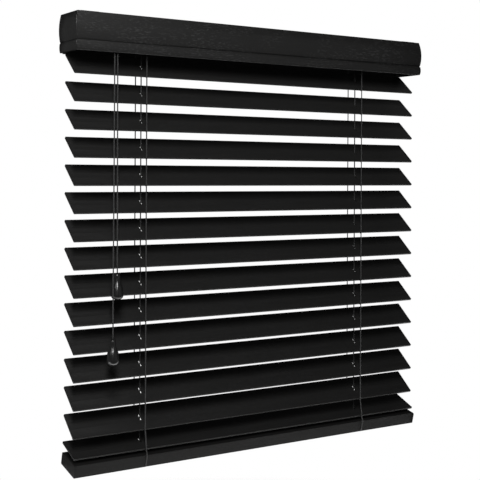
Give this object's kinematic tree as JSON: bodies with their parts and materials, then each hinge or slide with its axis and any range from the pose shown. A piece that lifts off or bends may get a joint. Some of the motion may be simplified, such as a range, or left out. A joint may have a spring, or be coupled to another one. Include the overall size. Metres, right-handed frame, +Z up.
{
  "type": "venetian blind",
  "caption": "Black wooden venetian blind with a moulded valance, cord tilt, string ladders and a cordless spring lift.",
  "frame": {"origin": "on the plane the two brackets are screwed up to, midway along the headrail and above the line of slat centres", "axes": "+X along the slats to the right as seen from the room, +Y towards the window, +Z up"},
  "size_m": [0.7306, 0.0859, 0.7447],
  "materials": {
    "wood": "black stained and lacquered basswood, satin, fine straight grain",
    "cord": "black braided polyester cord",
    "steel": "satin black powder coat on sheet steel",
    "zinc_steel": "zinc plated square rod",
    "gloss_plastic": "gloss black moulded tassel",
    "nylon": "natural white nylon, moulded",
    "plastic": "matt black moulded plastic"
  },
  "bodies": {
    "root": {"headrail": "steel", "headrail_end_cap_left": "plastic", "headrail_end_cap_right": "plastic", "mounting_bracket_left": "steel", "mounting_bracket_right": "steel", "tilter_housing": "nylon", "drum_cradle_left": "nylon", "drum_cradle_right": "nylon", "spring_motor_case": "nylon", "valance_front": "wood", "valance_return_left": "wood", "valance_return_right": "wood", "valance_clip_left": "plastic", "valance_clip_right": "plastic", "tilt_cord_long": "cord", "tilt_cord_short": "cord"},
    "tilt_shaft": {"tilt_rod": "zinc_steel", "tilt_gear": "nylon", "ladder_drum_left": "nylon", "ladder_drum_right": "nylon"},
    "worm": {"tilt_worm": "nylon"},
    "spool": {"lift_cord_spool": "plastic"},
    "tassel_long": {"tassel_long": "gloss_plastic"},
    "tassel_short": {"tassel_short": "gloss_plastic"},
    "base_lift": {"lift_cord_left_base": "cord"},
    "slat_02_rise": {"lift_cord_right_02": "cord"},
    "slat_03_rise": {"lift_cord_left_03": "cord"},
    "slat_04_rise": {"lift_cord_right_04": "cord"},
    "slat_05_rise": {"lift_cord_left_05": "cord"},
    "slat_06_rise": {"lift_cord_right_06": "cord"},
    "slat_07_rise": {"lift_cord_left_07": "cord"},
    "slat_08_rise": {"lift_cord_right_08": "cord"},
    "slat_09_rise": {"lift_cord_left_09": "cord"},
    "slat_10_rise": {"lift_cord_right_10": "cord"},
    "slat_11_rise": {"lift_cord_left_11": "cord"},
    "slat_12_rise": {"lift_cord_right_12": "cord"},
    "slat_13_rise": {"lift_cord_left_13": "cord"},
    "slat_14_rise": {"lift_cord_right_14": "cord"},
    "slat_01": {"slat_01": "wood"},
    "slat_02": {"slat_02": "wood"},
    "slat_03": {"slat_03": "wood"},
    "slat_04": {"slat_04": "wood"},
    "slat_05": {"slat_05": "wood"},
    "slat_06": {"slat_06": "wood"},
    "slat_07": {"slat_07": "wood"},
    "slat_08": {"slat_08": "wood"},
    "slat_09": {"slat_09": "wood"},
    "slat_10": {"slat_10": "wood"},
    "slat_11": {"slat_11": "wood"},
    "slat_12": {"slat_12": "wood"},
    "slat_13": {"slat_13": "wood"},
    "slat_14": {"slat_14": "wood"},
    "slat_15": {"slat_15": "wood"},
    "bottom_rail": {"bottom_rail": "wood", "rail_plug_left": "plastic", "rail_plug_right": "plastic"},
    "ladder_cord_front_left": {"ladder_cord_front_left": "cord"},
    "ladder_cord_back_left": {"ladder_cord_back_left": "cord"},
    "ladder_cord_front_right": {"ladder_cord_front_right": "cord"},
    "ladder_cord_back_right": {"ladder_cord_back_right": "cord"}
  },
  "joints": [
    {"name": "tilt", "type": "hinge", "parent": "root", "child": "tilt_shaft", "pos_m": [0, 0, -0.027], "axis": [1, 0, 0], "range_deg": [-108.8, 27.2]},
    {"name": "lift", "type": "slide", "parent": "root", "child": "base_lift", "axis": [0, 0, 1], "range_m": [0, 0.4545], "deforming": ["lift_cord_right_02", "lift_cord_left_03", "lift_cord_right_04", "lift_cord_left_05", "lift_cord_right_06", "lift_cord_left_07", "lift_cord_right_08", "lift_cord_left_09", "lift_cord_right_10", "lift_cord_left_11", "lift_cord_right_12", "lift_cord_left_13", "lift_cord_right_14", "lift_cord_left_base", "ladder_cord_front_left", "ladder_cord_back_left", "ladder_cord_front_right", "ladder_cord_back_right"]},
    {"name": "rise_02", "type": "slide", "parent": "root", "child": "slat_02_rise", "axis": [0, 0, 1], "range_m": [0, 0.034]},
    {"name": "rise_03", "type": "slide", "parent": "root", "child": "slat_03_rise", "axis": [0, 0, 1], "range_m": [0, 0.0675]},
    {"name": "rise_04", "type": "slide", "parent": "root", "child": "slat_04_rise", "axis": [0, 0, 1], "range_m": [0, 0.101]},
    {"name": "rise_05", "type": "slide", "parent": "root", "child": "slat_05_rise", "axis": [0, 0, 1], "range_m": [0, 0.1345]},
    {"name": "rise_06", "type": "slide", "parent": "root", "child": "slat_06_rise", "axis": [0, 0, 1], "range_m": [0, 0.168]},
    {"name": "rise_07", "type": "slide", "parent": "root", "child": "slat_07_rise", "axis": [0, 0, 1], "range_m": [0, 0.2015]},
    {"name": "rise_08", "type": "slide", "parent": "root", "child": "slat_08_rise", "axis": [0, 0, 1], "range_m": [0, 0.235]},
    {"name": "rise_09", "type": "slide", "parent": "root", "child": "slat_09_rise", "axis": [0, 0, 1], "range_m": [0, 0.2685]},
    {"name": "rise_10", "type": "slide", "parent": "root", "child": "slat_10_rise", "axis": [0, 0, 1], "range_m": [0, 0.302]},
    {"name": "rise_11", "type": "slide", "parent": "root", "child": "slat_11_rise", "axis": [0, 0, 1], "range_m": [0, 0.3355]},
    {"name": "rise_12", "type": "slide", "parent": "root", "child": "slat_12_rise", "axis": [0, 0, 1], "range_m": [0, 0.369]},
    {"name": "rise_13", "type": "slide", "parent": "root", "child": "slat_13_rise", "axis": [0, 0, 1], "range_m": [0, 0.4025]},
    {"name": "rise_14", "type": "slide", "parent": "root", "child": "slat_14_rise", "axis": [0, 0, 1], "range_m": [0, 0.436]},
    {"name": "slat_01_tilt", "type": "hinge", "parent": "root", "child": "slat_01", "pos_m": [0, 0, -0.082], "axis": [1, 0, 0], "range_deg": [-108.9, 27.3]},
    {"name": "slat_02_tilt", "type": "hinge", "parent": "slat_02_rise", "child": "slat_02", "pos_m": [0, 0, -0.127], "axis": [1, 0, 0], "range_deg": [-108.9, 27.3]},
    {"name": "slat_03_tilt", "type": "hinge", "parent": "slat_03_rise", "child": "slat_03", "pos_m": [0, 0, -0.172], "axis": [1, 0, 0], "range_deg": [-108.9, 27.3]},
    {"name": "slat_04_tilt", "type": "hinge", "parent": "slat_04_rise", "child": "slat_04", "pos_m": [0, 0, -0.217], "axis": [1, 0, 0], "range_deg": [-108.9, 27.3]},
    {"name": "slat_05_tilt", "type": "hinge", "parent": "slat_05_rise", "child": "slat_05", "pos_m": [0, 0, -0.262], "axis": [1, 0, 0], "range_deg": [-108.9, 27.3]},
    {"name": "slat_06_tilt", "type": "hinge", "parent": "slat_06_rise", "child": "slat_06", "pos_m": [0, 0, -0.307], "axis": [1, 0, 0], "range_deg": [-108.9, 27.3]},
    {"name": "slat_07_tilt", "type": "hinge", "parent": "slat_07_rise", "child": "slat_07", "pos_m": [0, 0, -0.352], "axis": [1, 0, 0], "range_deg": [-108.9, 27.3]},
    {"name": "slat_08_tilt", "type": "hinge", "parent": "slat_08_rise", "child": "slat_08", "pos_m": [0, 0, -0.397], "axis": [1, 0, 0], "range_deg": [-108.9, 27.3]},
    {"name": "slat_09_tilt", "type": "hinge", "parent": "slat_09_rise", "child": "slat_09", "pos_m": [0, 0, -0.442], "axis": [1, 0, 0], "range_deg": [-108.9, 27.3]},
    {"name": "slat_10_tilt", "type": "hinge", "parent": "slat_10_rise", "child": "slat_10", "pos_m": [0, 0, -0.487], "axis": [1, 0, 0], "range_deg": [-108.9, 27.3]},
    {"name": "slat_11_tilt", "type": "hinge", "parent": "slat_11_rise", "child": "slat_11", "pos_m": [0, 0, -0.532], "axis": [1, 0, 0], "range_deg": [-108.9, 27.3]},
    {"name": "slat_12_tilt", "type": "hinge", "parent": "slat_12_rise", "child": "slat_12", "pos_m": [0, 0, -0.577], "axis": [1, 0, 0], "range_deg": [-108.9, 27.3]},
    {"name": "slat_13_tilt", "type": "hinge", "parent": "slat_13_rise", "child": "slat_13", "pos_m": [0, 0, -0.622], "axis": [1, 0, 0], "range_deg": [-108.9, 27.3]},
    {"name": "slat_14_tilt", "type": "hinge", "parent": "slat_14_rise", "child": "slat_14", "pos_m": [0, 0, -0.667], "axis": [1, 0, 0], "range_deg": [-108.9, 27.3]},
    {"name": "slat_15_tilt", "type": "hinge", "parent": "base_lift", "child": "slat_15", "pos_m": [0, 0, -0.7055], "axis": [1, 0, 0], "range_deg": [-59.94, 15.06]},
    {"name": "bottom_rail_tilt", "type": "hinge", "parent": "base_lift", "child": "bottom_rail", "pos_m": [0, 0, -0.7285], "axis": [1, 0, 0], "range_deg": [-37.09, 9.35]},
    {"name": "ladder_cord_front_left_swing", "type": "hinge", "parent": "tilt_shaft", "child": "ladder_cord_front_left", "pos_m": [-0.23, -0.02029, -0.04451], "axis": [1, 0, 0], "range_deg": [-27.3, 108.9]},
    {"name": "ladder_cord_back_left_swing", "type": "hinge", "parent": "tilt_shaft", "child": "ladder_cord_back_left", "pos_m": [-0.23, 0.02029, -0.00949], "axis": [1, 0, 0], "range_deg": [-27.3, 108.9]},
    {"name": "ladder_cord_front_right_swing", "type": "hinge", "parent": "tilt_shaft", "child": "ladder_cord_front_right", "pos_m": [0.23, -0.02029, -0.04451], "axis": [1, 0, 0], "range_deg": [-27.3, 108.9]},
    {"name": "ladder_cord_back_right_swing", "type": "hinge", "parent": "tilt_shaft", "child": "ladder_cord_back_right", "pos_m": [0.23, 0.02029, -0.00949], "axis": [1, 0, 0], "range_deg": [-27.3, 108.9]},
    {"name": "worm_turn", "type": "hinge", "parent": "root", "child": "worm", "pos_m": [-0.293, 0, -0.0425], "axis": [0, 1, 0], "range_deg": [-1089, 273]},
    {"name": "spool_turn", "type": "hinge", "parent": "root", "child": "spool", "pos_m": [0, 0, -0.045], "axis": [0, 0, 1], "range_deg": [-1, 2175.1]},
    {"name": "tassel_short_slide", "type": "slide", "parent": "root", "child": "tassel_short", "axis": [0, 0, 1], "range_m": [-0.02898, 0.11443], "deforming": ["tilt_cord_short"]},
    {"name": "tassel_long_slide", "type": "slide", "parent": "root", "child": "tassel_long", "axis": [0, 0, 1], "range_m": [-0.11443, 0.02898], "deforming": ["tilt_cord_long"]}
  ],
  "couplings": [
    {"joint": "rise_02", "follows": "lift", "ratio": 0.073707},
    {"joint": "rise_03", "follows": "lift", "ratio": 0.14741},
    {"joint": "rise_04", "follows": "lift", "ratio": 0.22112},
    {"joint": "rise_05", "follows": "lift", "ratio": 0.29483},
    {"joint": "rise_06", "follows": "lift", "ratio": 0.36854},
    {"joint": "rise_07", "follows": "lift", "ratio": 0.44224},
    {"joint": "rise_08", "follows": "lift", "ratio": 0.51595},
    {"joint": "rise_09", "follows": "lift", "ratio": 0.58966},
    {"joint": "rise_10", "follows": "lift", "ratio": 0.66337},
    {"joint": "rise_11", "follows": "lift", "ratio": 0.73707},
    {"joint": "rise_12", "follows": "lift", "ratio": 0.81078},
    {"joint": "rise_13", "follows": "lift", "ratio": 0.88449},
    {"joint": "rise_14", "follows": "lift", "ratio": 0.9582},
    {"joint": "slat_01_tilt", "follows": "tilt", "ratio": 1},
    {"joint": "slat_02_tilt", "follows": "tilt", "ratio": 1},
    {"joint": "slat_03_tilt", "follows": "tilt", "ratio": 1},
    {"joint": "slat_04_tilt", "follows": "tilt", "ratio": 1},
    {"joint": "slat_05_tilt", "follows": "tilt", "ratio": 1},
    {"joint": "slat_06_tilt", "follows": "tilt", "ratio": 1},
    {"joint": "slat_07_tilt", "follows": "tilt", "ratio": 1},
    {"joint": "slat_08_tilt", "follows": "tilt", "ratio": 1},
    {"joint": "slat_09_tilt", "follows": "tilt", "ratio": 1},
    {"joint": "slat_10_tilt", "follows": "tilt", "ratio": 1},
    {"joint": "slat_11_tilt", "follows": "tilt", "ratio": 1},
    {"joint": "slat_12_tilt", "follows": "tilt", "ratio": 1},
    {"joint": "slat_13_tilt", "follows": "tilt", "ratio": 1},
    {"joint": "slat_14_tilt", "follows": "tilt", "ratio": 1},
    {"joint": "slat_15_tilt", "follows": "tilt", "ratio": 0.55},
    {"joint": "bottom_rail_tilt", "follows": "tilt", "ratio": 0.34},
    {"joint": "ladder_cord_front_left_swing", "follows": "tilt", "ratio": -1},
    {"joint": "ladder_cord_back_left_swing", "follows": "tilt", "ratio": -1},
    {"joint": "ladder_cord_front_right_swing", "follows": "tilt", "ratio": -1},
    {"joint": "ladder_cord_back_right_swing", "follows": "tilt", "ratio": -1},
    {"joint": "worm_turn", "follows": "tilt", "ratio": 10},
    {"joint": "spool_turn", "follows": "lift", "rad_per_m": 83.333},
    {"joint": "tassel_short_slide", "follows": "tilt", "m_per_rad": -0.06},
    {"joint": "tassel_long_slide", "follows": "tilt", "m_per_rad": 0.06}
  ]
}
